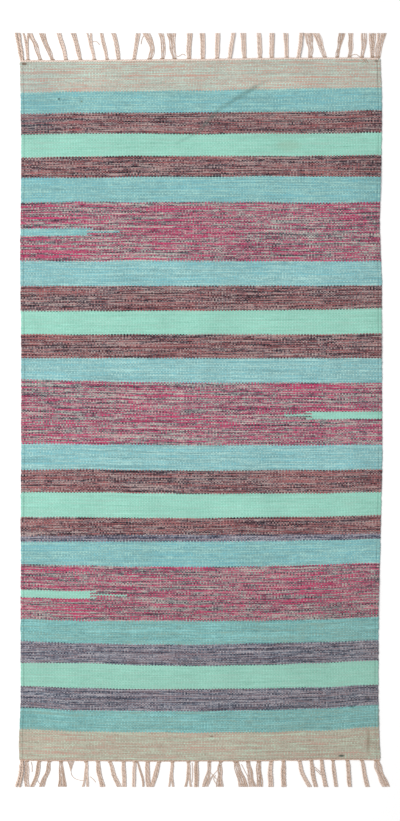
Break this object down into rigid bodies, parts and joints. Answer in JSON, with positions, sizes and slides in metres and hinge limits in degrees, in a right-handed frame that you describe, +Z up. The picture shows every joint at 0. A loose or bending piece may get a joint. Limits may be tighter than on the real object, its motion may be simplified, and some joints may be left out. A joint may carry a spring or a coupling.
{
  "type": "kilim rug",
  "caption": "Rectangular flat-woven cotton rug with cross stripes, small woven wedges and a tasselled fringe at both ends, lying flat.",
  "frame": {"origin": "middle of the rug's underside, on the floor", "axes": "+X across the rug, +Y along it towards the end with 28 tassels, +Z up from the floor"},
  "size_m": [0.7304, 1.465, 0.0038],
  "materials": {
    "cotton_weft": "matt weft-faced cotton weave in cross stripes of turquoise, mint, mottled pink, brown, slate and cream",
    "bare_cotton": "matt undyed twisted cotton"
  },
  "bodies": {
    "root": {"kilim_cloth": "cotton_weft", "fringe_top": "bare_cotton", "fringe_bottom": "bare_cotton"}
  },
  "joints": []
}
